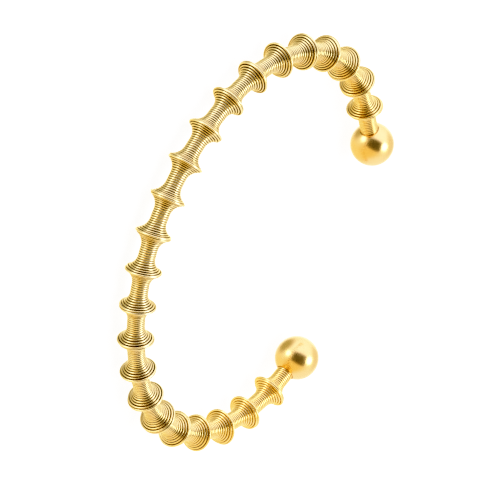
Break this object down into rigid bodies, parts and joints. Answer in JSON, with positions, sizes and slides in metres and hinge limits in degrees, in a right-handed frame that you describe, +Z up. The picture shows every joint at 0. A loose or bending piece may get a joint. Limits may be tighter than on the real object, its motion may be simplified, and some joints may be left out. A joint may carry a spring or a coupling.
{
  "type": "spiral coil cuff bracelet",
  "caption": "Open oval cuff of close-wound gilt wire, flared into a row of trumpet rims along a core wire, with a ball at each end.",
  "frame": {"origin": "middle of the underside of the bounding box, with the cuff lying on its side as it rests on a table", "axes": "+Z up, along the wrist; +Y towards the opening between the balls; +X to the right when looking along +Y"},
  "size_m": [0.072, 0.0594, 0.0073],
  "materials": {
    "core_metal": "plain drawn wire, hidden in the coil",
    "coil_wire": "polished gold plating on drawn wire",
    "ball_metal": "satin gold plating"
  },
  "bodies": {
    "root": {"core_wire": "core_metal", "wire_coil": "coil_wire", "ball_end_left": "ball_metal", "ball_end_right": "ball_metal"}
  },
  "joints": []
}
